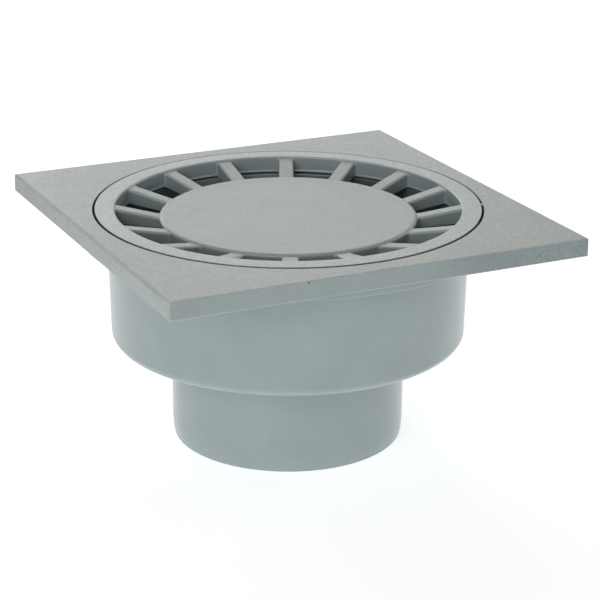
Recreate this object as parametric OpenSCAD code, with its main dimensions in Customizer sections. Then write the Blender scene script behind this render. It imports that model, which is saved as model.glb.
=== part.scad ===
// Floor gully trap with a square plate, a round lift-out grate and a bell trap.
// Three mouldings: the body, the grate that drops into it and the bell under the grate.
// The origin is the centre of the spigot's open end, on which the part stands; +Z is up.

/* [Floor plate] */
// Side of the square plate, across its top
plate_w = 200; // [200:5:260]
// Height of the plate's outer edge
skirt_h = 8.4; // [6.5:0.1:10.5]
// Thickness of the skirt behind that edge
skirt_t = 2.6; // [2:0.1:3.5]
// Thickness of the deck, the plate's walked-on wall
deck_t = 3; // [2.2:0.1:4]
// Rounding of the plate's top edges
plate_round = 1.2; // [0.6:0.1:2]
// Rounding of the plate's upright corners, at the foot of the skirt
corner_round = 0.8; // [0.5:0.1:2]
// Draft of the skirt's outer faces in degrees: the plate is that much wider at its foot
skirt_draft = 2; // [0:0.5:4]
// Rounding of the skirt's lower edge
skirt_round = 0.5; // [0.2:0.1:1]
// Stiffening ribs in each corner pocket
corner_ribs = 3; // [1:1:5]
// Thickness of the ribs and webs under the plate
rib_t = 2.2; // [1.6:0.1:3]

/* [Grate seat] */
// Depth of the seat below the plate's top
seat_depth = 9; // [8.6:0.1:11]
// Thickness of the ledge that the grate stands on
seat_t = 2.6; // [2:0.1:3]
// Least width of the ledge under the grate, where the bowl doesn't give more
seat_lap = 5; // [4:0.5:8]
// Clearance all round the grate
grate_gap = 1; // [0.4:0.1:1.2]
// Thickness of the wall round the recess
recess_wall = 2; // [1.8:0.1:2.4]
// Distance from the recess to the outside of the collar under the plate
collar_w = 5.7; // [5.6:0.1:7]
// Thickness of the collar's wall
collar_wall = 2; // [1.8:0.1:2.2]
// Depth of the collar's lower edge below the plate's top
collar_depth = 12.6; // [11.8:0.1:16]
// Webs between the recess wall and the collar
webs = 16; // [8:4:32]
// Width of the pads that tie the collar to the skirt
pad_w = 24; // [12:1:36]

/* [Bowl] */
// Outside diameter of the bowl just under the plate
bowl_d = 168.4; // [150:0.2:174]
// Depth of the bowl's underside below the plate's top
bowl_depth = 63; // [58:0.5:90]
// Thickness of the bowl's side wall
bowl_wall = 2.8; // [2.2:0.1:3.6]
// Thickness of the bowl's floor
floor_t = 3; // [2.4:0.1:4]
// Slope of the side wall, in degrees
bowl_draft = 1.2; // [0:0.1:2]
// Rounding round the bottom of the bowl
bowl_round = 4.4; // [3.2:0.1:6]

/* [Spigot] */
// Outside diameter of the spigot, a standard pipe size
spigot_d = 110; // [100:1:125]
// Length of the spigot below the bowl
spigot_l = 48.5; // [40:0.5:80]
// Thickness of the spigot's wall
spigot_wall = 3.2; // [2.4:0.1:4]
// Rounding of the spigot's leading edge
spigot_round = 1.2; // [0.5:0.1:1.5]

/* [Standpipe] */
// Outside diameter of the standpipe at its rim
pipe_d = 78; // [70:1:84]
// Thickness of the standpipe's wall
pipe_wall = 3; // [2.4:0.1:4]
// Depth of the standpipe's rim below the plate's top
pipe_depth = 22; // [20:0.5:28]
// Slope of the standpipe's wall, in degrees
pipe_draft = 1; // [0:0.1:1.5]

/* [Grate ring] */
// Outside diameter of the grate
grate_d = 179.4; // [178:0.2:181]
// Width of the ring's top face
ring_w = 9.2; // [8:0.1:10]
// Height of the ring's inner wall
ring_h = 8; // [7.4:0.1:8.4]
// Thickness of the grate's walls
grate_wall = 2.6; // [2:0.1:3]
// Rounding of the ring's inner top edge
ring_round = 1; // [0.4:0.1:1.5]
// Turn of the grate in its seat, in degrees
grate_turn = -1.8; // [-11:0.1:11]

/* [Grate disc and spokes] */
// Diameter of the solid disc in the middle
disc_d = 120.4; // [110:0.2:128]
// Depth of the disc below the ring's top
disc_drop = 4.35; // [3:0.05:5]
// Rounding of the disc's edge
disc_round = 1.8; // [1:0.1:2.2]
// Depth of the disc's lower edge below the ring's top
disc_foot = 10.3; // [9.4:0.1:11]
// Number of spokes
spokes = 16; // [8:1:20]
// Width of a spoke
spoke_w = 7.6; // [6.6:0.1:9]
// Rounding of a spoke's top edges
spoke_round = 1.3; // [0.6:0.1:1.6]
// Depth of a spoke's top below the ring's top, where they meet
spoke_drop = 1.1; // [0.6:0.1:1.6]
// Depth of a spoke's top below the disc's top, where they meet
spoke_step = 1; // [0.6:0.1:1.4]
// Stiffening ribs under the disc
disc_ribs = 8; // [4:1:12]

/* [Bell] */
// Outside diameter of the bell at its rim
bell_d = 118; // [112:1:122]
// Thickness of the bell's wall
bell_wall = 2.4; // [2:0.1:3]
// Clearance between the bell's crown and the grate's disc
bell_gap = 2.2; // [1:0.1:3]
// Height of the bell's rim above the bowl's floor
bell_lift = 10; // [8:0.5:14]
// Rounding of the bell's crown
bell_round = 4; // [2.6:0.1:6]
// Slope of the bell's wall, in degrees
bell_draft = 1; // [0:0.1:1.5]
// Fins that stand on the standpipe's rim
fins = 4; // [3:1:8]
// Thickness of a fin
fin_t = 2.4; // [1.8:0.1:3]
// Clearance between the fins and the standpipe's outside
fin_gap = 0.6; // [0.3:0.1:1]
// How far the fins reach down round the standpipe
fin_grip = 9; // [6:0.5:14]

/* [Hidden] */
pvc = [0.66, 0.69, 0.68];
pvc_side = [0.60, 0.64, 0.63];
pvc_bell = [0.55, 0.58, 0.57];
$fn = 96;
arc_steps = 6;
eps = 0.01;
over = 1;

// Levels, measured up from the spigot's open end
top_z = spigot_l + bowl_depth;
deck_z = top_z - deck_t;
skirt_z = top_z - skirt_h;
foot_w = plate_w + 2 * skirt_h * tan(skirt_draft);
seat_z = top_z - seat_depth;
ledge_z = seat_z - seat_t;
collar_z = top_z - collar_depth;
base_z = spigot_l;
floor_z = base_z + floor_t;
rim_z = top_z - pipe_depth;

// Radii of the body
recess_r = grate_d / 2 + grate_gap;
collar_r = recess_r + collar_w;
bowl_r = bowl_d / 2;
ledge_in_r = min(bowl_r - bowl_wall, grate_d / 2 - seat_lap);
bowl_foot_r = bowl_r - (ledge_z - base_z) * tan(bowl_draft);
bowl_in_round = bowl_round - bowl_wall / 2;
spigot_r = spigot_d / 2;
pipe_r = pipe_d / 2;
pipe_foot_r = pipe_r + (rim_z - floor_z) * tan(pipe_draft);
seat_round = 0.8;
rim_round = 0.8;
recess_round = 0.3;
root_round = 3;
spigot_bevel = 0.5;
rib_fan = 64;
rib_lift = 1;

// The grate, below the plate's top
grate_r = grate_d / 2;
ring_r = grate_r - ring_w;
disc_r = disc_d / 2;
disc_z = top_z - disc_drop;
disc_foot_z = top_z - disc_foot;
spoke_in_z = disc_z - spoke_step;
spoke_out_z = top_z - spoke_drop;
spoke_slope = atan((spoke_out_z - spoke_in_z) / (ring_r - disc_r));
grate_round = 0.4;
disc_t = 3;
disc_rib_t = 2;
disc_rib_h = 2;
boss_r = 9;

// The bell
bell_top_z = disc_foot_z - bell_gap;
bell_foot_z = floor_z + bell_lift;
bell_r = bell_d / 2;
crown_r = bell_r - (bell_top_z - bell_foot_z) * tan(bell_draft);
crown_z = bell_top_z - bell_wall;
bell_in_round = bell_round - bell_wall;
fin_lap = 2;

// Points of an arc from angle a to angle b about c
function arc(c, r, a, b) =
    [for (i = [0 : arc_steps]) let (t = a + (b - a) * i / arc_steps) c + r * [cos(t), sin(t)]];

// A width by height outline with its upper corners and its lower corners rounded. The width is
// that of the top, and the sides lean out towards the foot by a draft angle
module rounded_outline(w, h, r_top, r_low, draft = 0) {
    lean = [cos(draft), sin(draft)];
    top_x = w / 2 - r_top * (1 - lean.y) / lean.x;
    low_x = w / 2 + ((h - r_low) * lean.y - r_low) / lean.x;
    for (s = [0, 1]) mirror([s, 0]) {
        translate([top_x, h - r_top]) circle(r_top);
        translate([low_x, r_low]) circle(r_low);
        polygon([[0, 0], [low_x, 0], [low_x, r_low] + r_low * lean,
                 [top_x, h - r_top] + r_top * lean, [top_x, h], [0, h]]);
    }
}

// The slab that the plate is hollowed from: its top edges are rounded along both sides
module plate_slab() {
    translate([0, 0, skirt_z]) intersection() {
        rotate([90, 0, 0]) linear_extrude(height = foot_w, center = true)
            rounded_outline(plate_w, skirt_h, plate_round, skirt_round, skirt_draft);
        rotate([90, 0, 90]) linear_extrude(height = foot_w, center = true)
            rounded_outline(plate_w, skirt_h, plate_round, skirt_round, skirt_draft);
        linear_extrude(height = skirt_h) translate([0, -foot_w / 2])
            rounded_outline(foot_w, foot_w, corner_round, corner_round);
    }
}

// Square plate: a deck with a skirt hanging from its edge, ribs across its corner pockets
// and a pad in the middle of each side, where the collar comes close to the skirt
module plate() {
    pocket_w = plate_w - 2 * skirt_t;
    rib_in_r = collar_r - collar_wall / 2;
    rib_h = skirt_h - deck_t - rib_lift;
    difference() {
        plate_slab();
        translate([-pocket_w / 2, -pocket_w / 2, skirt_z - over])
            cube([pocket_w, pocket_w, skirt_h - deck_t + over]);
        translate([0, 0, skirt_z - over])
            cylinder(r = recess_r + recess_wall / 2, h = skirt_h + 2 * over);
    }
    translate([0, 0, deck_z - rib_h]) intersection() {
        translate([-pocket_w / 2 - eps, -pocket_w / 2 - eps, 0])
            cube([pocket_w + 2 * eps, pocket_w + 2 * eps, rib_h + eps]);
        for (q = [0 : 3]) rotate(90 * q) {
            for (i = [1 : corner_ribs])
                rotate(45 + rib_fan * (i / (corner_ribs + 1) - 0.5))
                    translate([rib_in_r, -rib_t / 2, 0]) cube([plate_w / 2, rib_t, rib_h + eps]);
            translate([rib_in_r, -pad_w / 2, 0]) cube([plate_w / 2, pad_w, rib_h + eps]);
        }
    }
}

// Recess wall, seat and collar, cored out from below and tied by short webs
module seat() {
    rotate_extrude() polygon(concat(
        [[ledge_in_r, ledge_z]],
        arc([ledge_in_r + seat_round, seat_z - seat_round], seat_round, 180, 90),
        [[recess_r, seat_z]],
        arc([recess_r + recess_round, top_z - recess_round], recess_round, 180, 90),
        [[recess_r + recess_wall, top_z], [recess_r + recess_wall, ledge_z]]));
    rotate_extrude() polygon(concat(
        [[collar_r - collar_wall, deck_z + deck_t / 2], [collar_r - collar_wall, collar_z]],
        arc([collar_r - skirt_round, collar_z + skirt_round], skirt_round, 270, 360),
        [[collar_r, deck_z + deck_t / 2]]));
    for (i = [0 : webs - 1])
        rotate((i + 0.5) * 360 / webs)
            translate([recess_r + recess_wall / 2, -rib_t / 2, ledge_z + seat_t / 2])
                cube([collar_w - collar_wall / 2 - recess_wall / 2, rib_t,
                      deck_z - ledge_z - seat_t / 2 + eps]);
}

// Bowl with a drafted side, a rounded bottom edge and a floor that carries the standpipe
module bowl() {
    in_r = bowl_foot_r - bowl_wall;
    rotate_extrude() polygon(concat(
        [[pipe_foot_r - pipe_wall, base_z]],
        arc([bowl_foot_r - bowl_round, base_z + bowl_round], bowl_round, 270, 360 - bowl_draft),
        [[bowl_r, ledge_z], [bowl_r, ledge_z + seat_t / 2],
         [bowl_r - bowl_wall, ledge_z + seat_t / 2], [bowl_r - bowl_wall, ledge_z]],
        arc([in_r - bowl_in_round, floor_z + bowl_in_round], bowl_in_round, 360 - bowl_draft, 270),
        [[pipe_foot_r - pipe_wall, floor_z]]));
}

// Central standpipe: water leaves over its rim, which sets the depth of the seal
module standpipe() {
    rotate_extrude() polygon(concat(
        [[pipe_foot_r - pipe_wall, base_z], [pipe_foot_r, base_z + floor_t / 2]],
        arc([pipe_foot_r + root_round, floor_z + root_round], root_round, 270, 180 - pipe_draft),
        arc([pipe_r - rim_round, rim_z - rim_round], rim_round, 0, 90),
        arc([pipe_r - pipe_wall + rim_round, rim_z - rim_round], rim_round, 90, 180)));
}

// Spigot that pushes into the drain pipe's socket
module spigot() {
    rotate_extrude() polygon(concat(
        [[spigot_r - spigot_wall, base_z + floor_t / 2], [spigot_r - spigot_wall, spigot_bevel],
         [spigot_r - spigot_wall + spigot_bevel, 0]],
        arc([spigot_r - spigot_round, spigot_round], spigot_round, 270, 360),
        arc([spigot_r + root_round / 2, base_z - root_round / 2], root_round / 2, 180, 90),
        [[spigot_r + root_round / 2, base_z + floor_t / 2]]));
}

// The body, one moulding
module body() {
    color(pvc_side) {
        plate();
        seat();
        bowl();
        standpipe();
        spigot();
    }
}

// Ring of the grate, an inverted channel whose outer wall stands on the seat
module ring() {
    rotate_extrude() polygon(concat(
        [[grate_r - grate_wall, seat_z], [grate_r, seat_z]],
        arc([grate_r - grate_round, top_z - grate_round], grate_round, 0, 90),
        arc([ring_r + ring_round, top_z - ring_round], ring_round, 90, 180),
        [[ring_r, top_z - ring_h], [ring_r + grate_wall, top_z - ring_h],
         [ring_r + grate_wall, top_z - grate_wall], [grate_r - grate_wall, top_z - grate_wall]]));
}

// Disc of the grate, a shallow inverted cup stiffened by ribs that meet in a boss
module disc() {
    rotate_extrude() polygon(concat(
        [[0, disc_z]],
        arc([disc_r - disc_round, disc_z - disc_round], disc_round, 90, 0),
        [[disc_r, disc_foot_z], [disc_r - grate_wall, disc_foot_z],
         [disc_r - grate_wall, disc_z - disc_t], [0, disc_z - disc_t]]));
    translate([0, 0, disc_z - disc_t - disc_rib_h]) {
        cylinder(r = boss_r, h = disc_rib_h + eps);
        for (i = [0 : disc_ribs - 1])
            rotate(i * 360 / disc_ribs)
                translate([0, -disc_rib_t / 2, 0])
                    cube([disc_r - grate_wall / 2, disc_rib_t, disc_rib_h + eps]);
    }
}

// One spoke, sloping down from the ring to the disc, hollow from below
module spoke() {
    lap = grate_wall / 2;
    run = (ring_r - disc_r + 2 * lap) / cos(spoke_slope);
    translate([disc_r - lap, 0, spoke_in_z - lap * tan(spoke_slope)])
        rotate([0, -spoke_slope, 0])
            rotate([90, 0, 90])
                linear_extrude(height = run)
                    translate([0, -disc_foot]) difference() {
                        rounded_outline(spoke_w, disc_foot, spoke_round, spoke_round);
                        translate([-spoke_w / 2 + grate_wall, -over])
                            square([spoke_w - 2 * grate_wall, disc_foot - grate_wall + over]);
                    }
}

// Everything below the grate's underside between the disc and the ring
module underside() {
    rotate_extrude() polygon([
        [0, disc_foot_z], [disc_r, disc_foot_z], [ring_r, top_z - ring_h],
        [grate_r, top_z - ring_h], [grate_r, 0], [0, 0]]);
}

// The grate, one moulding: a flat ring and a sunk disc joined by dished spokes
module grate() {
    color(pvc) rotate(grate_turn) {
        ring();
        disc();
        difference() {
            for (i = [0 : spokes - 1])
                rotate(i * 360 / spokes) spoke();
            underside();
        }
    }
}

// The bell, an inverted cup that closes the trap; its stepped fins stand on the standpipe
module bell() {
    color(pvc_bell) {
        rotate_extrude() polygon(concat(
            [[0, bell_top_z]],
            arc([crown_r - bell_round, bell_top_z - bell_round], bell_round, 90, -bell_draft),
            [[bell_r, bell_foot_z], [bell_r - bell_wall, bell_foot_z]],
            arc([crown_r - bell_wall - bell_in_round, crown_z - bell_in_round],
                bell_in_round, -bell_draft, 90),
            [[0, crown_z]]));
        fin_in_r = pipe_r - pipe_wall - fin_lap;
        fin_out_r = crown_r - bell_wall / 2;
        step_r = pipe_r + fin_gap;
        for (i = [0 : fins - 1])
            rotate(45 + i * 360 / fins) translate([0, -fin_t / 2, 0]) {
                translate([fin_in_r, 0, rim_z]) cube([fin_out_r - fin_in_r, fin_t, crown_z - rim_z + eps]);
                translate([step_r, 0, rim_z - fin_grip])
                    cube([fin_out_r - step_r, fin_t, fin_grip + eps]);
            }
    }
}

body();
grate();
bell();
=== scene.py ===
# %% [markdown]
# # A floor gully trap
#
# The object is a drain for a wet floor: a square plate with a round grate in it, a bowl that
# holds a water seal under a bell, and a spigot that goes into the drain pipe. All three
# mouldings are grey PVC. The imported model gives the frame: its three nodes say where the body,
# the grate and the bell are. The pieces made here stand for them and add what a mould leaves:
# rounded edges, fillets, draft, grain and clouds in the plastic.

from math import acos, cos, degrees, hypot, pi, radians, sin, sqrt, tan
from types import SimpleNamespace

import bmesh
import bpy
from mathutils import Matrix, Vector


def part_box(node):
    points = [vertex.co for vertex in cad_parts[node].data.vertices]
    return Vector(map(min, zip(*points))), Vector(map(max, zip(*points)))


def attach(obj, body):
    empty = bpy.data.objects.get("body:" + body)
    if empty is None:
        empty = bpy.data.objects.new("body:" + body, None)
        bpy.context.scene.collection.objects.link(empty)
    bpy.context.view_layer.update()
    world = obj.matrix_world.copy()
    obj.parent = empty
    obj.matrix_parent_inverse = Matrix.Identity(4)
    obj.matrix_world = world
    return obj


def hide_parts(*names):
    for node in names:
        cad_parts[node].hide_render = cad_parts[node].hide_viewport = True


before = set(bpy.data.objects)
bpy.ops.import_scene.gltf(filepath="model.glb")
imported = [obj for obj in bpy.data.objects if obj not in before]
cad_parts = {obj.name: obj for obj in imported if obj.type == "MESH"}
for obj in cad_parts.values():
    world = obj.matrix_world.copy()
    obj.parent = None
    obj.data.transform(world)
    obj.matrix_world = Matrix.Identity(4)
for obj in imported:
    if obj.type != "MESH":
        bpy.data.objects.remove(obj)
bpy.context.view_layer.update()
MM = 0.001
body_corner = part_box("body")[1] / MM
TOP, FOOT_HALF = body_corner.z, body_corner.x
GRATE_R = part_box("grate")[1].x / MM
print(f"foot of the plate {2 * FOOT_HALF:.1f} mm wide, top at {TOP:.1f} mm, "
      f"grate {2 * GRATE_R:.1f} mm across")

# %% [markdown]
# ## Camera
#
# The gully is seen from a little above, past one corner of the plate. A long lens keeps the
# plate's far edge nearly as wide as its near edge. The camera is placed by its distance, its
# angle round the object and its height angle, all from the middle of the plate's top. Then it is
# turned a few degrees downwards, so that the spigot is in the picture too.

# %% Camera
LENS_MM, SENSOR_MM = 123.156, 36
DISTANCE, AROUND, ABOVE = 0.954569, radians(-25.2364), radians(17.3491)
YAW, PITCH, ROLL = radians(0.3247), radians(2.6599), radians(0.2799)

plate_middle = Vector((0, 0, TOP * MM))
back = Vector((sin(AROUND) * cos(ABOVE), -cos(AROUND) * cos(ABOVE), sin(ABOVE)))
right = Vector((0, 0, 1)).cross(back).normalized()
facing_plate = Matrix((right, back.cross(right), back))
rolled = Matrix.Rotation(-ROLL, 3, "Z") @ facing_plate
aimed = Matrix.Rotation(PITCH, 3, "X") @ Matrix.Rotation(YAW, 3, "Y") @ rolled

camera = bpy.data.objects.new("camera", bpy.data.cameras.new("camera"))
bpy.context.scene.collection.objects.link(camera)
camera.data.lens, camera.data.sensor_width = LENS_MM, SENSOR_MM
camera.matrix_world = Matrix.LocRotScale(
    plate_middle + DISTANCE * back, aimed.transposed().to_quaternion(), None)
camera.data.clip_start, camera.data.clip_end = 0.05, 50
bpy.context.scene.camera = camera
print("camera at", [round(c, 3) for c in camera.matrix_world.translation])

# %% [markdown]
# ## Materials
#
# Colours are written as hex values, as a colour picker shows them, and one function turns them
# to the linear values that shaders work with. A second function adds a node of any kind. It
# sets the node's properties first, because they decide which inputs are open, and then fills
# the inputs, either with a plain value or with a link.

# %% Colour and node helpers


def linear(hex_colour):
    """The linear RGBA of an sRGB hex colour."""
    parts = [int(hex_colour[i:i + 2], 16) / 255 for i in (0, 2, 4)]
    return [c / 12.92 if c < 0.04045 else ((c + 0.055) / 1.055) ** 2.4 for c in parts] + [1]


def add(tree, kind, *values, **named):
    """Adds a node. Values fill its open inputs in order. A name with a capital is an input too,
    any other name is a property. Nodes and sockets are linked, anything else is set."""
    made = tree.nodes.new("ShaderNode" + kind)
    for name, value in named.items():
        if name[0].islower():
            setattr(made, name, value)
    filled = list(zip([i for i in made.inputs if i.enabled], values))
    filled += [(made.inputs[name.replace("_", " ")], value)
               for name, value in named.items() if name[0].isupper()]
    for socket, value in filled:
        if isinstance(value, bpy.types.Node):
            value = next(output for output in value.outputs if output.enabled)
        if isinstance(value, bpy.types.NodeSocket):
            tree.links.new(value, socket)
        else:
            socket.default_value = value
    return made


def empty_material(name):
    """A material with nothing in its tree."""
    made = bpy.data.materials.new(name)
    made.use_nodes = True
    made.node_tree.nodes.clear()
    return made, made.node_tree


print("mid grey 808080 is", round(linear("808080")[0], 3), "in linear light")

# %% [markdown]
# ### Masks and tones
#
# One mould gives its plastic several finishes, and they change from face to face. Each face
# could have a material of its own, but then every finish would end in a hard line. So there is
# one material for each piece, and masks, values that go from 0 to 1 over the surface, put a
# finish where it belongs. A mask asks where a point lies or which way its face looks, and masks
# that are multiplied give 1 only where all of them do. A tone then makes the plastic paler or
# darker where its mask is 1.

# %% Masks and tones


def mm(*lengths):
    """Lengths in mm as Blender's metres."""
    return [length * MM for length in lengths]


def where(tree, *conditions):
    """A mask that is 1 where every condition holds. A condition is a mask, or a value with the
    two ends of the range in which it goes from 0 to 1, or else from and to two more numbers."""
    masks = [add(tree, "MapRange", *c) if isinstance(c, tuple) else c for c in conditions]
    all_hold = masks[0]
    for mask in masks[1:]:
        all_hold = add(tree, "Math", all_hold, mask, operation="MULTIPLY")
    return all_hold


def toned(tree, value, tones):
    """Multiplies a value by each tone: a mask, and the factors where it is 0 and where it is 1."""
    for mask, plain, full in tones:
        factor = add(tree, "MapRange", mask, 0, 1, plain, full)
        value = add(tree, "Math", value, factor, operation="MULTIPLY")
    return value


print("100 mm are", mm(100)[0], "m")

# %% What a point can tell


def survey(tree):
    """Where a point lies, and which way its face looks."""
    place = add(tree, "TexCoord").outputs["Object"]
    normal = add(tree, "NewGeometry").outputs["Normal"]
    at, facing = (add(tree, "SeparateXYZ", v).outputs for v in (place, normal))
    flat = add(tree, "VectorMath", place, (1, 1, 0), operation="MULTIPLY")
    outwards = add(tree, "VectorMath", flat, operation="NORMALIZE")
    return SimpleNamespace(
        place=place, x=at["X"], y=at["Y"], z=at["Z"],
        from_axis=add(tree, "VectorMath", flat, operation="LENGTH"),
        facing_x=facing["X"], facing_y=facing["Y"], facing_z=facing["Z"],
        facing_out=add(tree, "VectorMath", outwards, normal, operation="DOT_PRODUCT"))


# Ends of the ranges for a face's direction: a flat top counts as up, and so does the first part
# of its rounding. A side counts alone, or with the roundings that turn towards it.
UP, SIDE_ALONE, SIDE_TURNED = (0.4, 0.8), (-0.5, -0.9), (-0.1, -0.4)
print("a face is fully up where it leans less than", round(degrees(acos(UP[1]))), "degrees")

# %% [markdown]
# ### Moulded PVC
#
# The gully is injection moulded from unplasticised PVC with a grey pigment, and the steel of
# the mould makes its surface. Round the bowl and the spigot the steel is turned and polished,
# and the plastic comes out satin, with a soft sheen. Over the deck and the grate it is spark
# eroded, and the same plastic comes out with a sandy grain, which scatters light and looks
# paler and less blue. The melt leaves faint clouds everywhere.
#
# A picture of the grain would have to be laid out on each piece. Noise that reads the place in
# the piece needs no layout, and its grains have the same size on every face. One function makes
# all three materials. A piece's finish says where its grain is, where its colour is the grained
# one, and which tones it has.

# %% Moulded PVC
SATIN, GRAINED = "8C9899", "A5ADA8"
SATIN_ROUGH, GRAINED_ROUGH = 0.25, 0.45
PVC_IOR = 1.53
CLOUD_MM, CLOUD_TONES = 24, (0.96, 1.03)      # clouds left by the melt as it flowed
BLOTCH_MM, BLOTCH = 5, 0.04                   # patches where the steel is worn
GRAIN_MM, PIT_TONES = 0.8, (0.85, 1.13)       # real pits of 0.2 mm are too fine to show
PIT_DEEP = 0.1 * MM
MIDDLE, NARROW_MIDDLE = (0.35, 0.65), (0.38, 0.62)    # where most of a noise lies


def moulded_pvc(name, satin=SATIN, finish=None):
    """Satin PVC with clouds. A finish is a function that gives the mask of the grain, the mask
    of its colour, and the tones."""
    material, tree = empty_material(name)
    here = survey(tree)
    clouds = add(tree, "TexNoise", here.place, Scale=1 / (CLOUD_MM * MM), Detail=4, Roughness=0.6)
    here.cloud = where(tree, (clouds, *MIDDLE))
    value = add(tree, "MapRange", here.cloud, 0, 1, *CLOUD_TONES)
    colour, skin = linear(satin), {"Roughness": SATIN_ROUGH}
    if finish:
        grained, grain_coloured, tones = finish(tree, here)
        worn = add(tree, "TexNoise", here.place, Scale=1 / (BLOTCH_MM * MM), Detail=3,
                   Roughness=0.6)
        grain = add(tree, "TexNoise", here.place, Scale=1 / (GRAIN_MM * MM), Detail=2,
                    Roughness=0.6)
        blotch = add(tree, "MapRange", worn, *MIDDLE, -BLOTCH, BLOTCH)
        pits = add(tree, "MapRange", grain, *NARROW_MIDDLE, *PIT_TONES)
        sandy = add(tree, "Math", blotch, pits, operation="ADD")
        value = toned(tree, value, [(grained, 1, sandy)] + tones)
        colour = add(tree, "Mix", grain_coloured, linear(satin), linear(GRAINED),
                     data_type="RGBA")
        relief = add(tree, "Math", grain, grained, operation="MULTIPLY")
        skin = {"Roughness": add(tree, "MapRange", grained, 0, 1, SATIN_ROUGH, GRAINED_ROUGH),
                "Normal": add(tree, "Bump", Strength=1.0, Distance=PIT_DEEP, Height=relief)}
    base = add(tree, "HueSaturation", Value=value, Color=colour)
    shader = add(tree, "BsdfPrincipled", Base_Color=base, IOR=PVC_IOR, **skin)
    add(tree, "OutputMaterial", Surface=shader)
    print(name, "in", len(tree.nodes), "nodes")
    return material


# %% [markdown]
# ### Finish of the body: painted light at the edges, painted shade in the bowl
#
# Three things happen at the edges of the plate. The rounding along the top of the front face is
# painted paler: painted light on a rounding that the lamps leave darker than the faces on both
# sides. The rounding under both faces, which looks down, gets an uneven pale line, a painted
# highlight of the light from below. And one dark speck of burnt plastic lies in the front edge.
# Inside the bowl, what lies within its wall and looks at the axis is painted darker as painted
# shade, apart from a paler patch at the back, which is painted light. Each of these is a function
# that gives a tone.

# %% Edges and the bowl's inside, with painted light and shade
SKIRT_LOW = TOP - 8.4
GRAIN_FADE = 0.3                  # the grain sets in over this much, above and below its end
OFF_SIDE, OFF_TOP, DOWN = (0.1, 0.3), (0.95, 0.8), (-0.1, -0.4)
# painted light on the rounding above the front face, which the lamps leave darker
ROUNDING_LIGHT_TONE = 1.2                 # where a face looks up, off the side and off the top
# painted highlight along the rounding under the side faces, fainter on the left, and the noise
# that breaks it up
LOW_HIGHLIGHT_TONE, LEFT_FAINTER = 1.4, 0.6
UNEVEN_MM, UNEVEN_CUT = 12, (0.3, 0.6, 0.3, 1)
SPECK, SPECK_R, SPECK_TONE = Vector((-37.5, -FOOT_HALF, TOP - 0.5)), (0.8, 0.4), 0.45
# painted shade inside the bowl, and a paler patch on its back wall, painted light where the slots
# let light in
INSIDE_R, INWARDS, INSIDE_SHADE_TONE = (82.5, 81.5), (-0.2, -0.6), 0.5
LIT_PATCH_Y, LIT_PATCH_X, LIT_PATCH_TONE = (55, 72), (-24, -10), 1.1


def grain_above(tree, here, height_mm):
    """A mask of what lies above a height."""
    return where(tree, (here.z, *mm(height_mm - GRAIN_FADE, height_mm + GRAIN_FADE)))


def lit_front_rounding(tree, here, front):
    """The rounding between the deck and the front face, painted paler as painted light."""
    rounding = where(tree, (here.facing_z, *OFF_SIDE), (here.facing_z, *OFF_TOP), front)
    return rounding, 1, ROUNDING_LIGHT_TONE


def lower_rounding_highlight(tree, here, front, left):
    """A painted highlight on the rounding under both faces, which looks down to the light from
    below, made uneven by noise.
    """
    unevenness = add(tree, "TexNoise", here.place, Scale=1 / (UNEVEN_MM * MM), Detail=3, Roughness=0.6)
    fainter = add(tree, "Math", left, LEFT_FAINTER, operation="MULTIPLY")
    faces = add(tree, "Math", front, fainter, operation="MAXIMUM")
    highlight_line = where(tree, (here.facing_z, *DOWN), (unevenness, *UNEVEN_CUT), faces)
    return highlight_line, 1, LOW_HIGHLIGHT_TONE


def burnt_speck(tree, here):
    """One speck, given by its distance from a point."""
    away = add(tree, "VectorMath", here.place, SPECK * MM, operation="DISTANCE")
    return where(tree, (away, *mm(*SPECK_R))), 1, SPECK_TONE


def inside_painted_shade(tree, here):
    """Painted shade on the bowl's inside, which is what lies within its wall and looks at the
    axis, and a painted patch of light on its back wall.
    """
    inside = where(tree, (here.from_axis, *mm(*INSIDE_R)), (here.facing_out, *INWARDS))
    lit_patch = where(tree, (here.y, *mm(*LIT_PATCH_Y)), (here.x, *mm(*LIT_PATCH_X)))
    return inside, 1, add(tree, "MapRange", lit_patch, 0, 1, INSIDE_SHADE_TONE, LIT_PATCH_TONE)


print("grain from", round(SKIRT_LOW, 1), "mm up, speck at", [round(c, 1) for c in SPECK])

# %% [markdown]
# ### Finish of the body: faces, and painted shade on them
#
# The plate is spark eroded from the skirt's lower edge up. The grain is plain to see on the deck,
# on the left side face and at the right end of the front one. In between, on the front face, the
# steel is rubbed smooth, and the grain ends in the outline of the clouds. The deck is painted
# darker at the left and paler at the right, and both side faces are painted darker away from the
# corner between them: painted shade that stands in for the way light falls on them.

# %% Finish of the body
# painted shade: the deck darker at the left, the side faces darker away from their corner
DECK_X, DECK_SHADE_TONES = (-100, 100), (0.95, 1.07)
FRONT_X, FRONT_SHADE_TONES = (5, 45), (0.94, 0.78)
LEFT_Y, LEFT_SHADE_TONES = (-60, 100), (0.92, 0.72)
SMOOTH_TO_X, CLOUD_SHIFT = (50, 90), 30   # where the grain of the front face sets in
LEFT_COLOUR = 0.5                         # the left face has half of the grained colour


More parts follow.
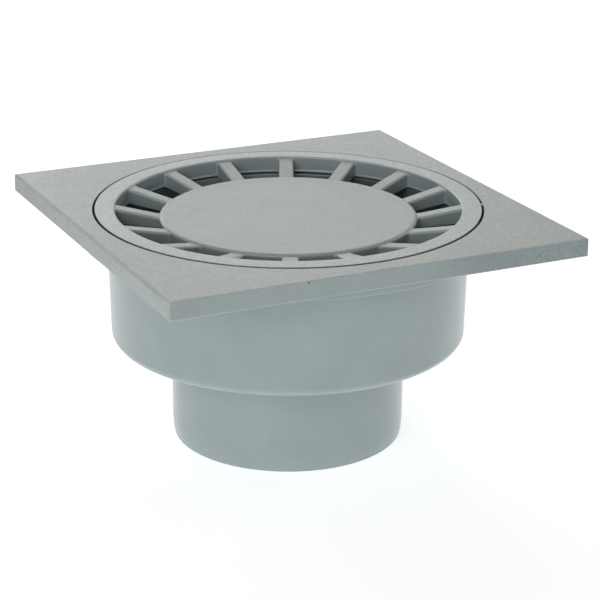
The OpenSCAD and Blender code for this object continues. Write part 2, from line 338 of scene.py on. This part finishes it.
def body_finish(tree, here):
    """Grain from the skirt's lower edge up, and the tones of the body's faces and edges, most of
    them painted light and shade.
    """
    eroded = grain_above(tree, here, SKIRT_LOW)
    deck = where(tree, eroded, (here.facing_z, *UP))
    left = where(tree, eroded, (here.facing_x, *SIDE_TURNED))
    front = where(tree, eroded, (here.facing_y, *SIDE_ALONE))
    front_turned = where(tree, eroded, (here.facing_y, *SIDE_TURNED))
    tones = [
        (front, 1, add(tree, "MapRange", here.x, *mm(*FRONT_X), *FRONT_SHADE_TONES)),
        (deck, 1, add(tree, "MapRange", here.x, *mm(*DECK_X), *DECK_SHADE_TONES)),
        lit_front_rounding(tree, here, front_turned),
        (left, 1, add(tree, "MapRange", here.y, *mm(*LEFT_Y), *LEFT_SHADE_TONES)),
        lower_rounding_highlight(tree, here, front_turned, left),
        inside_painted_shade(tree, here),
        burnt_speck(tree, here)]
    shift = add(tree, "Math", here.cloud, CLOUD_SHIFT * MM, operation="MULTIPLY")
    shifted_x = add(tree, "Math", here.x, shift, operation="ADD")
    right_end = where(tree, front, (shifted_x, *mm(*SMOOTH_TO_X)))
    side_grain = add(tree, "Math", left, right_end, operation="MAXIMUM")
    grained = add(tree, "Math", deck, side_grain, operation="MAXIMUM")
    half_left = add(tree, "Math", left, LEFT_COLOUR, operation="MULTIPLY")
    return grained, add(tree, "Math", deck, half_left, operation="MAXIMUM"), tones


body_pvc = moulded_pvc("moulded PVC, body", finish=body_finish)

# %% [markdown]
# ### Finishes of the grate and the bell
#
# The grate has the grain on all that looks up. Its ring stands a few millimetres over the disc, so
# soles and brooms rub it paler. Its outer wall, down in the gap, is painted darker as painted
# shade. The bell lies hidden under the disc, and its plain satin PVC is painted a darker grey, as
# painted shade for the inside of the gully.

# %% Finishes of the grate and the bell
RING_R = GRATE_R - 9.2
GRATE_GRAIN_LOW = TOP - 6
DISC_TONE, RING_TONE = 1.02, 1.27
# painted shade on the ring's outer wall, down in the gap
GAP_SHADE_R, OUTWARDS, GAP_SHADE_TONE = (RING_R + 7, RING_R + 7.5), (0.5, 0.9), 0.5


def grate_finish(tree, here):
    """Grain on all that looks up, a pale ring, and painted shade on the outer wall."""
    grained = where(tree, grain_above(tree, here, GRATE_GRAIN_LOW), (here.facing_z, *UP))
    ring = where(tree, (here.from_axis, *mm(RING_R - 0.5, RING_R)))
    shaded_outer_wall = where(tree, (here.from_axis, *mm(*GAP_SHADE_R)), (here.facing_out, *OUTWARDS))
    return grained, grained, [(ring, DISC_TONE, RING_TONE), (shaded_outer_wall, 1, GAP_SHADE_TONE)]


grate_pvc = moulded_pvc("moulded PVC, grate", finish=grate_finish)
# the bell's darker grey is painted shade for the inside of the gully, which shows through the
# slots
bell_pvc = moulded_pvc("moulded PVC, bell", satin="5C6466")

# %% [markdown]
# ## Turned shapes
#
# A bowl, a pipe and a ring are all a profile turned about one axis. So each is drawn as a line
# of corners, each with its radius, its height and its rounding, spun a full turn, and then the
# circular edges that have a rounding are bevelled. Rounding after the spin keeps the drawing to
# the corners that a drawing office would dimension.

# %% Spin and round
STEPS = 192
NEAR = 1e-6


def spin_profile(bm, corners, closed):
    """Spins (radius, height, rounding) corners in mm a full turn about Z."""
    verts = [bm.verts.new((r * MM, 0, z * MM)) for r, z, _ in corners]
    ends = verts[1:] + verts[:1] if closed else verts[1:]
    edges = [bm.edges.new(pair) for pair in zip(verts, ends)]
    bmesh.ops.spin(bm, geom=verts + edges, cent=(0, 0, 0), axis=(0, 0, 1), angle=2 * pi,
                   steps=STEPS, use_merge=True)
    bmesh.ops.remove_doubles(bm, verts=bm.verts, dist=NEAR)
    print(len(corners), "corners spun, with", len(bm.faces), "faces now")


def circle_edges(bm, r, z):
    """The edges that lie on one circle about Z."""
    def on(v):
        return abs(hypot(v.co.x, v.co.y) - r * MM) < 2 * NEAR and abs(v.co.z - z * MM) < NEAR
    return [e for e in bm.edges if on(e.verts[0]) and on(e.verts[1])]


def edges_at(verts):
    """The edges at some vertices, each once and always in the same order."""
    return list(dict.fromkeys(e for v in verts for e in v.link_edges))


def bevel(bm, edges, size_mm, segments=5):
    """Rounds edges to a radius in mm."""
    bmesh.ops.bevel(bm, geom=edges, offset=size_mm * MM, offset_type="OFFSET", affect="EDGES",
                    segments=segments, profile=0.5, material=-1)


def round_corners(bm, corners):
    """Bevels each circle of the profile that has a rounding, the larger ones more finely."""
    for r, z, rounding in corners:
        if rounding:
            bevel(bm, circle_edges(bm, r, z), rounding, 6 if rounding > 1 else 4)


# %% [markdown]
# ## A finished piece
#
# All three mouldings are finished in the same way. The normals are made to point outwards, and
# every edge that turns less than 40 degrees is shaded smooth. The Weighted Normal modifier then
# keeps the large faces flat up to their roundings. A subdivision surface would round the edges
# too, but it would need many more faces and swell the flat ones. At last the piece takes its
# finish and is hung under the root, and the imported node that it stands for is hidden.

# %% Finish a piece
CREASE = radians(40)


def finish_piece(name, bm, material, node):
    """Makes the mesh an object with its finish, hangs it under the root and hides the CAD node
    that it stands for.
    """
    bmesh.ops.recalc_face_normals(bm, faces=bm.faces)
    mesh = bpy.data.meshes.new(name)
    bm.to_mesh(mesh)
    bm.free()
    mesh.shade_smooth()
    mesh.set_sharp_from_angle(angle=CREASE)
    mesh.materials.append(material)
    piece = bpy.data.objects.new(name, mesh)
    bpy.context.scene.collection.objects.link(piece)
    piece.modifiers.new("flat faces stay flat", "WEIGHTED_NORMAL").keep_sharp = True
    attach(piece, "root")
    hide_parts(node)
    sizes = [round(d / MM, 2) for d in piece.dimensions]
    print(name, sizes, "mm,", sum(len(p.vertices) - 2 for p in mesh.polygons), "triangles")


# %% [markdown]
# ## Body: bowl, standpipe and spigot
#
# Everything round in the body is one line. It starts under the deck at the collar, goes down
# the bowl's outside and the spigot, back up through the spigot and the standpipe, over the
# standpipe's rim, along the bowl's floor and up its wall to the seat, and ends at the edge of
# the recess. Cylinders could be joined and cut by booleans instead, but one line shows where
# each wall is and leaves clean circles to round. The bowl and the standpipe have a draft of
# about a degree, so that the mould lets go of them, and the spigot's end is tapered to find its
# way into a socket.

# %% Round part of the body
DECK_LOW, SEAT, LEDGE_LOW, COLLAR_LOW = TOP - 3, TOP - 9, TOP - 11.6, TOP - 12.6
GAP, RECESS_WALL, COLLAR_WALL = 1, 2, 2
RECESS_R = GRATE_R + GAP
COLLAR_R = RECESS_R + 5.7
BOWL_R, BOWL_LOW, BOWL_WALL, BOWL_DRAFT = 84.2, TOP - 63, 2.8, radians(1.2)
BOWL_FOOT_R = BOWL_R - (LEDGE_LOW - BOWL_LOW) * tan(BOWL_DRAFT)
FLOOR = BOWL_LOW + 3
SPIGOT_R, SPIGOT_WALL, TAPER_LONG, TAPER_DEEP = 55, 3.2, 4.6, 0.8
PIPE_R, PIPE_WALL, PIPE_RIM, PIPE_DRAFT = 39, 3, TOP - 22, radians(1)
PIPE_FOOT_R = PIPE_R + (PIPE_RIM - FLOOR) * tan(PIPE_DRAFT)

collar_line = [
    (COLLAR_R, DECK_LOW, 0), (COLLAR_R, COLLAR_LOW, 0.5),
    (COLLAR_R - COLLAR_WALL, COLLAR_LOW, 0.4), (COLLAR_R - COLLAR_WALL, DECK_LOW, 0),
    (RECESS_R + RECESS_WALL, DECK_LOW, 0), (RECESS_R + RECESS_WALL, LEDGE_LOW, 0.5)]
outside_line = [
    (BOWL_R, LEDGE_LOW, 1), (BOWL_FOOT_R, BOWL_LOW, 4.4), (SPIGOT_R, BOWL_LOW, 1.5),
    (SPIGOT_R, TAPER_LONG, 4), (SPIGOT_R - TAPER_DEEP, 0, 0.8)]
waterway_line = [
    (SPIGOT_R - SPIGOT_WALL, 0, 0.5), (SPIGOT_R - SPIGOT_WALL, BOWL_LOW, 1),
    (PIPE_FOOT_R - PIPE_WALL, BOWL_LOW, 1), (PIPE_R - PIPE_WALL, PIPE_RIM, 0.8)]
inside_line = [
    (PIPE_R, PIPE_RIM, 0.8), (PIPE_FOOT_R, FLOOR, 3), (BOWL_FOOT_R - BOWL_WALL, FLOOR, 3),
    (BOWL_R - BOWL_WALL, LEDGE_LOW, 0), (BOWL_R - BOWL_WALL, SEAT, 0.8), (RECESS_R, SEAT, 0.4),
    (RECESS_R, TOP, 0.4)]
body_line = collar_line + outside_line + waterway_line + inside_line
body = bmesh.new()
spin_profile(body, body_line, closed=False)

# %% [markdown]
# ## Body: the square plate
#
# The plate is square outside and round inside. A round hole could be cut in a square by a
# boolean, but that leaves long thin faces that shade badly. Here a square outline is cut into
# as many edges as the circle has, then pushed out into the skirt: down its nearly upright face,
# in under its edge and up to the deck's underside. Two bridges join the square to the circles,
# one over the deck and one under it.

# %% Square plate
SKIRT_T, SKIRT_DRAFT, BORDER = 2.6, radians(0.5), 4
HALF = FOOT_HALF - (TOP - SKIRT_LOW) * tan(SKIRT_DRAFT)


def push(bm, edges, to_half, to_z):
    """Extrudes a square loop of edges to a new half width and height."""
    new = bmesh.ops.extrude_edge_only(bm, edges=edges)["geom"]
    verts = [g for g in new if isinstance(g, bmesh.types.BMVert)]
    scale = to_half * MM / max(v.co.x for v in verts)
    bmesh.ops.scale(bm, vec=(scale, scale, 1), verts=verts)
    bmesh.ops.translate(bm, vec=(0, 0, to_z * MM - verts[0].co.z), verts=verts)
    return [g for g in new if isinstance(g, bmesh.types.BMEdge)]


square = bmesh.ops.create_circle(
    body, segments=4, radius=HALF * sqrt(2) * MM,
    matrix=Matrix.Translation((0, 0, TOP * MM)) @ Matrix.Rotation(pi / 4, 4, "Z"))["verts"]
bmesh.ops.subdivide_edges(body, edges=edges_at(square), cuts=STEPS // 4 - 1)
outline = [e for e in body.edges if not e.link_faces and
           all(abs(max(abs(v.co.x), abs(v.co.y)) - HALF * MM) < NEAR for v in e.verts)]
print("plate outline in", len(outline), "edges, each side", round(2 * HALF, 2), "mm")

border = push(body, outline, HALF - BORDER, TOP)
skirt_foot = push(body, outline, FOOT_HALF, SKIRT_LOW)
skirt_back = push(body, skirt_foot, HALF - SKIRT_T, SKIRT_LOW)
pocket = push(body, skirt_back, HALF - SKIRT_T, DECK_LOW)
bmesh.ops.bridge_loops(body, edges=border + circle_edges(body, RECESS_R, TOP))
bmesh.ops.bridge_loops(body, edges=pocket + circle_edges(body, COLLAR_R, DECK_LOW))
print("open edges left:", sum(len(e.link_faces) != 2 for e in body.edges))

# %% [markdown]
# ## Body: rounding the plate
#
# The edges that fingers meet are rounded: the four corners and the top rim in one go, then the
# skirt's lower edge and the corners of the turned line. The left edge is the most worn. There
# the finished rounding is stretched to a bit more than twice its size, and it comes back to the
# plain one near both corners, so that it meets the other edges.

# %% Round the plate and the turned corners
PLATE_ROUND, SKIRT_ROUND = 0.8, 0.5
WORN, WORN_BLEND = 1.2, 8     # how much rounder the left edge is, and the length it blends over
SLACK = 0.01                  # a vertex this close to a surface lies on it


def on_outline(v):
    """Whether a vertex lies on the plate's square outline."""
    return max(abs(v.co.x), abs(v.co.y)) > (HALF - SLACK) * MM


corner_posts = [e for e in body.edges if all(on_outline(v) for v in e.verts)
                and abs(e.verts[0].co.z - e.verts[1].co.z) > MM
                and abs(abs(e.verts[0].co.x) - abs(e.verts[0].co.y)) < NEAR]
top_rim = [e for e in body.edges
           if all(on_outline(v) and v.co.z > (TOP - SLACK) * MM for v in e.verts)]
bevel(body, corner_posts + top_rim, PLATE_ROUND)
for v in body.verts:
    from_side, from_top = v.co.x / MM + HALF, TOP - v.co.z / MM
    if max(from_side, from_top) < PLATE_ROUND + SLACK:
        to_corner = min(1, max(0, (HALF - PLATE_ROUND - abs(v.co.y) / MM) / WORN_BLEND))
        v.co.x = (from_side * (1 + WORN * to_corner) - HALF) * MM
        v.co.z = (TOP - from_top * (1 + WORN * to_corner)) * MM
low_rim = [e for e in body.edges
           if all(abs(v.co.z - SKIRT_LOW * MM) < NEAR for v in e.verts)
           and all(max(abs(v.co.x), abs(v.co.y)) > (HALF - PLATE_ROUND) * MM for v in e.verts)
           and any(abs(f.normal.z) < 0.5 for f in e.link_faces)]
bevel(body, low_rim, SKIRT_ROUND, 3)
round_corners(body, body_line)
print(len(corner_posts), "corner edges,", len(top_rim), "top edges,", len(low_rim), "low edges")

# %% [markdown]
# ## Body: ribs, webs and pads
#
# The underside is cored out to even walls and stiffened. Three ribs cross each corner pocket,
# a ring of short webs ties the collar to the recess wall, and a pad in the middle of each side
# joins the collar to the skirt. Each is a plain block with a small rounding. Its ends go into
# the walls that it ties, so it needs no joining. A last block, tiny and in sight, is the nub of
# plastic that was left in the gap on the right when the moulding was cut from its feed.

# %% Ribs, webs and pads
RIB_T, RIB_LOW, PAD_W = 2.2, DECK_LOW - 4.4, 24
RIBS, RIB_FAN = (-1, 0, 1), 16      # the ribs of a pocket, and the degrees between them
WEBS, WEB_LOW = 16, LEDGE_LOW + 1.3
SUNK = 1                            # how far a block's ends go into the walls


def block(bm, low, high, turn=0.0, rounding=0.3):
    """A rounded block between two corners in mm, turned about Z."""
    low, high = Vector(low) * MM, Vector(high) * MM
    verts = bmesh.ops.create_cube(bm, size=1)["verts"]
    bmesh.ops.scale(bm, vec=high - low, verts=verts)
    bmesh.ops.translate(bm, vec=(low + high) / 2, verts=verts)
    bmesh.ops.rotate(bm, cent=(0, 0, 0), matrix=Matrix.Rotation(turn, 3, "Z"), verts=verts)
    bevel(bm, edges_at(verts), rounding, 2)


def pocket_reach(angle):
    """Distance from the axis to the middle of the skirt's wall along a direction, in mm."""
    return (HALF - SKIRT_T / 2) / max(abs(cos(angle)), abs(sin(angle)))


for quarter in range(4):
    side = quarter * pi / 2
    block(body, (COLLAR_R - SUNK, -PAD_W / 2, RIB_LOW),
          (HALF - SKIRT_T / 2, PAD_W / 2, DECK_LOW + SUNK), side)
    for rib in RIBS:
        angle = side + radians(45 + RIB_FAN * rib)
        reach = pocket_reach(angle) - RIB_T / 2
        block(body, (COLLAR_R - SUNK, -RIB_T / 2, RIB_LOW),
              (reach, RIB_T / 2, DECK_LOW + SUNK), angle)
for web in range(WEBS):
    angle = (web + 0.5) * 2 * pi / WEBS
    block(body, (RECESS_R + SUNK, -RIB_T / 2, WEB_LOW),
          (COLLAR_R - SUNK, RIB_T / 2, DECK_LOW + SUNK), angle)
print("4 pads,", 4 * len(RIBS), "ribs and", WEBS, "webs")

# %% Nub in the gap
NUB_TURN, NUB_W, NUB_HIGH, NUB_LOW = radians(-23.7), 2, TOP - 0.02, TOP - 0.8
block(body, (RECESS_R - 0.95 * GAP, -NUB_W / 2, NUB_LOW),
      (RECESS_R + 0.7, NUB_W / 2, NUB_HIGH), NUB_TURN, 0.1)
finish_piece("body_moulding", body, body_pvc, "body")

# %% [markdown]
# ## Grate: ring and disc
#
# The grate is one moulding, but it is easiest to see as a ring, a disc and the spokes between
# them. The ring is a channel, open below, whose outer wall stands on the seat, and its inner
# wall ends in a thin bead. The disc lies a few millimetres lower, so that water runs in from
# all sides. Its edge has a soft rounding, and eight ribs stiffen it from below. Both are spun as
# the body is: the ring's line is closed, and the disc's line starts and ends on the axis.

# %% Ring and disc
RING_LOW, WALL = TOP - 8, 2.6
BEAD_OUT, BEAD_HIGH, BEAD_SIDE = 0.4, 1.1, 0.7
DISC_R, DISC_TOP, DISC_LOW, DISC_T = 60.2, TOP - 4.35, TOP - 10.3, 3
DISC_RIBS, DISC_RIB_W = 8, 2
DISC_RIB_LOW, DISC_RIB_HIGH = DISC_TOP - 5, DISC_TOP - 2.5
HUB_R = 4                     # the ribs end at a small circle in the middle

ring_line = [
    (GRATE_R - WALL, SEAT, 0.4), (GRATE_R, SEAT, 0.4), (GRATE_R, TOP, 0.3), (RING_R, TOP, 1),
    (RING_R, RING_LOW + BEAD_HIGH, 0.3), (RING_R - BEAD_OUT, RING_LOW + BEAD_SIDE, 0.2),
    (RING_R - BEAD_OUT, RING_LOW, 0.3), (RING_R + WALL, RING_LOW, 0.4),
    (RING_R + WALL, TOP - WALL, 0), (GRATE_R - WALL, TOP - WALL, 0)]
disc_line = [
    (0, DISC_TOP, 0), (DISC_R, DISC_TOP, 1.8), (DISC_R, DISC_LOW, 0.5),
    (DISC_R - WALL, DISC_LOW, 0.4), (DISC_R - WALL, DISC_TOP - DISC_T, 0),
    (0, DISC_TOP - DISC_T, 0)]
grate = bmesh.new()
spin_profile(grate, ring_line, closed=True)
round_corners(grate, ring_line)
spin_profile(grate, disc_line, closed=False)
round_corners(grate, disc_line)
bmesh.ops.remove_doubles(grate, verts=grate.verts, dist=NEAR)
for rib in range(DISC_RIBS):
    block(grate, (HUB_R, -DISC_RIB_W / 2, DISC_RIB_LOW),
          (DISC_R - SUNK, DISC_RIB_W / 2, DISC_RIB_HIGH), rib * 2 * pi / DISC_RIBS)
print("ring and disc:", len(grate.faces), "faces")

# %% [markdown]
# ## Grate: spokes
#
# Sixteen spokes slope down from the ring to the disc. Only one is shaped, and the rest are its
# copies. It starts as a block, which is sheared to the slope, rounded along its top edges and
# hollowed from below, so that its walls are as even as the rest. The extrusion that makes the
# hollow leaves the old face over it, so that one is deleted.

# %% One spoke
SPOKE_W, SPOKE_ROUND, HOLLOW = 7.6, 1.3, 2
SPOKE_AT_RING, SPOKE_AT_DISC = TOP - 1.1, DISC_TOP - 1
SPOKE_MIDDLE = DISC_LOW + 3   # a height between its top and its underside, all along it
LAP = 1.2                     # how far its ends go into the ring and the disc
RUN = RING_R - DISC_R

spoke = bmesh.new()
verts = bmesh.ops.create_cube(spoke, size=1)["verts"]
bmesh.ops.scale(spoke, vec=Vector((RUN + 2 * LAP, SPOKE_W, 1)) * MM, verts=verts)
bmesh.ops.translate(spoke, vec=(((RING_R + DISC_R) / 2) * MM, 0, 0), verts=verts)
for v in verts:
    along = (v.co.x / MM - DISC_R) / RUN
    at_disc, at_ring = (SPOKE_AT_DISC, SPOKE_AT_RING) if v.co.z > 0 else (DISC_LOW, RING_LOW)
    v.co.z = (at_disc + (at_ring - at_disc) * along) * MM
long_edges = [e for e in spoke.edges if abs(e.verts[0].co.x - e.verts[1].co.x) > RUN / 2 * MM]
top_edges = [e for e in long_edges if e.verts[0].co.z > SPOKE_MIDDLE * MM]
bevel(spoke, top_edges, SPOKE_ROUND, 6)
under = [f for f in spoke.faces if f.normal.z < -0.5]
bmesh.ops.inset_region(spoke, faces=under, thickness=WALL * MM)
lifted = bmesh.ops.extrude_face_region(spoke, geom=under)["geom"]
bmesh.ops.delete(spoke, geom=under, context="FACES_ONLY")
bmesh.ops.translate(spoke, vec=(0, 0, HOLLOW * MM),
                    verts=[g for g in lifted if isinstance(g, bmesh.types.BMVert)])
print("spoke:", len(spoke.faces), "faces, open edges",
      sum(len(e.link_faces) != 2 for e in spoke.edges))

# %% [markdown]
# ## Grate: fillets, and the other fifteen
#
# Near its ends the spoke widens in a quarter circle. That is the fillet that lets the melt flow
# and keeps the corner from cracking. The spoke is cut across where the curve needs vertices,
# closer together towards the end, and they are moved out to the circle. Then a spin that copies
# sets out the rest.

# %% Fillets and the other fifteen
FILLET = 1.3
FILLET_CUTS = [0, 0.1, 0.3, 0.6, 0.95, FILLET]
SPOKES, GRATE_TURN = 16, radians(-1.8)
GRATE_REST = Vector((0.42, 0.91, 0)) * 0.6 * MM   # lying loose, it is this far off the middle

stations = [DISC_R + cut for cut in FILLET_CUTS] + [RING_R - cut for cut in FILLET_CUTS]
for x in stations:
    everything = spoke.verts[:] + spoke.edges[:] + spoke.faces[:]
    bmesh.ops.bisect_plane(spoke, geom=everything, dist=NEAR, plane_co=(x * MM, 0, 0),
                           plane_no=(1, 0, 0))
for v in spoke.verts:
    from_end = min(v.co.x / MM - DISC_R, RING_R - v.co.x / MM)
    if from_end < FILLET:
        from_centre = FILLET - max(from_end, 0)
        flare = FILLET - sqrt(FILLET ** 2 - from_centre ** 2)
        v.co.y *= 1 + flare / (SPOKE_W / 2)
bmesh.ops.rotate(spoke, cent=(0, 0, 0), matrix=Matrix.Rotation(GRATE_TURN, 3, "Z"),
                 verts=spoke.verts)
bmesh.ops.spin(spoke, geom=spoke.verts[:] + spoke.edges[:] + spoke.faces[:], cent=(0, 0, 0),
               axis=(0, 0, 1), angle=2 * pi * (SPOKES - 1) / SPOKES, steps=SPOKES - 1,
               use_duplicate=True)
bmesh.ops.recalc_face_normals(spoke, faces=spoke.faces)
spoke_mesh = bpy.data.meshes.new("spokes")
spoke.to_mesh(spoke_mesh)
spoke.free()
grate.from_mesh(spoke_mesh)
bpy.data.meshes.remove(spoke_mesh)
bmesh.ops.translate(grate, vec=GRATE_REST, verts=grate.verts)
finish_piece("grate_moulding", grate, grate_pvc, "grate")

# %% [markdown]
# ## Bell
#
# The bell is an upturned cup over the standpipe. Its rim hangs in the water of the bowl, which
# closes the way for air. Four stepped fins inside it stand on the standpipe's rim and keep it
# in the middle. The cup is spun, and each fin is two blocks that reach into its wall.

# %% Bell
BELL_R, BELL_TOP, BELL_LOW, BELL_WALL = 59, DISC_LOW - 2.2, FLOOR + 10, 2.4
BELL_DRAFT = radians(1)
CROWN_R = BELL_R - (BELL_TOP - BELL_LOW) * tan(BELL_DRAFT)
FINS, FIN_T, FIN_REACH, FIN_PLAY, FIN_DROP = 4, 2.4, 2, 0.6, 9

bell_line = [
    (0, BELL_TOP, 0), (CROWN_R, BELL_TOP, 4), (BELL_R, BELL_LOW, 0.5),
    (BELL_R - BELL_WALL, BELL_LOW, 0.5), (CROWN_R - BELL_WALL, BELL_TOP - BELL_WALL, 1.6),
    (0, BELL_TOP - BELL_WALL, 0)]
bell = bmesh.new()
spin_profile(bell, bell_line, closed=False)
round_corners(bell, bell_line)
fin_out, fin_high = CROWN_R - BELL_WALL / 2, BELL_TOP - BELL_WALL / 2
for fin in range(FINS):
    angle = radians(45) + fin * 2 * pi / FINS
    block(bell, (PIPE_R - PIPE_WALL - FIN_REACH, -FIN_T / 2, PIPE_RIM),
          (fin_out, FIN_T / 2, fin_high), angle)
    block(bell, (PIPE_R + FIN_PLAY, -FIN_T / 2, PIPE_RIM - FIN_DROP),
          (fin_out, FIN_T / 2, PIPE_RIM + SUNK), angle)
finish_piece("bell_moulding", bell, bell_pvc, "bell")

# %% [markdown]
# ## Floor, light and background
#
# The gully stands on a white light table inside a white tent. Light comes from all round and
# from below, so the sides of the bowl are nearly as bright as the deck and its lower edge shows
# a bright line. Lamps strong enough to turn the background white would burn out the plastic, so
# the Light Path node gives the camera and reflections a white of their own. The table keeps the
# gully's soft shadow, and farther out it is seen whiter, so that it ends without a line.

# %% Floor
TABLE_GLOW, TENT_LIGHT = 0.95, 0.22           # what they give as light
TABLE_SEEN, TABLE_SEEN_FAR = 0.58, 0.85       # how bright the table looks, near and far
TABLE_NEAR_M, TABLE_FAR_M, TABLE_HALF_M = 0.5, 2, 12


def seen_or_mirrored(tree):
    """1 for a ray from the camera, or one that is reflected or let through."""
    path = add(tree, "LightPath").outputs
    mirrored = add(tree, "Math", path["Is Glossy Ray"], path["Is Transmission Ray"],
                   operation="MAXIMUM")
    return add(tree, "Math", path["Is Camera Ray"], mirrored, operation="MAXIMUM")


table_white, tree = empty_material("white light table")
out = add(tree, "VectorMath", add(tree, "TexCoord").outputs["Object"], operation="LENGTH")
seen = add(tree, "MapRange", out, TABLE_NEAR_M, TABLE_FAR_M, TABLE_SEEN, TABLE_SEEN_FAR)
glow = add(tree, "MapRange", seen_or_mirrored(tree), 0, 1, TABLE_GLOW, seen)
sheet = add(tree, "BsdfPrincipled", Base_Color=linear("F4F4F4"), Roughness=0.9,
            Specular_IOR_Level=0.2, Emission_Color=linear("FFFFFF"), Emission_Strength=glow)
add(tree, "OutputMaterial", Surface=sheet)

ground = bmesh.new()
bmesh.ops.create_grid(ground, x_segments=1, y_segments=1, size=TABLE_HALF_M)
ground_mesh = bpy.data.meshes.new("table")
ground.to_mesh(ground_mesh)
ground.free()
ground_mesh.materials.append(table_white)
table = bpy.data.objects.new("table", ground_mesh)
bpy.context.scene.collection.objects.link(table)
print("table", 2 * TABLE_HALF_M, "m wide")

# %% [markdown]
# ### Lamps
#
# The tent alone would light all faces alike. A lamp at the front left makes the front of the
# bowl and the left side face a little brighter, and one behind brightens the deck. Two more
# stand low behind the gully, one on each side. They graze the bowl and the spigot, and draw the
# bright line along both sides of their outline.

# %% Light
world = bpy.data.worlds.new("light tent")
bpy.context.scene.world = world
world.use_nodes = True
tree = world.node_tree
tree.nodes.clear()
strength = add(tree, "MapRange", seen_or_mirrored(tree), 0, 1, TENT_LIGHT, 1)
sky = add(tree, "Background", Color=linear("FFFFFF"), Strength=strength)
add(tree, "OutputWorld", Surface=sky)


def soft_lamp(name, size_m, place, watts):
    """A square area lamp aimed at the middle of the gully."""
    data = bpy.data.lights.new(name, "AREA")
    data.size, data.energy = size_m, watts
    lamp = bpy.data.objects.new(name, data)
    aim = Vector((0, 0, TOP * MM / 2)) - Vector(place)
    lamp.matrix_world = Matrix.LocRotScale(Vector(place), aim.to_track_quat("-Z", "Y"), None)
    bpy.context.scene.collection.objects.link(lamp)
    print(name, "at", place, watts, "W")


soft_lamp("behind", 0.9, (0.33, 1.1, 0.9), 4.5)
soft_lamp("front left", 0.8, (-0.9, -0.85, 0.62), 6.0)
soft_lamp("left edge", 0.7, (-0.1, 1.25, 0.12), 5.0)
soft_lamp("right edge", 0.7, (1.3, 0.25, 0.12), 5.5)
bpy.context.scene.view_settings.view_transform = "Standard"
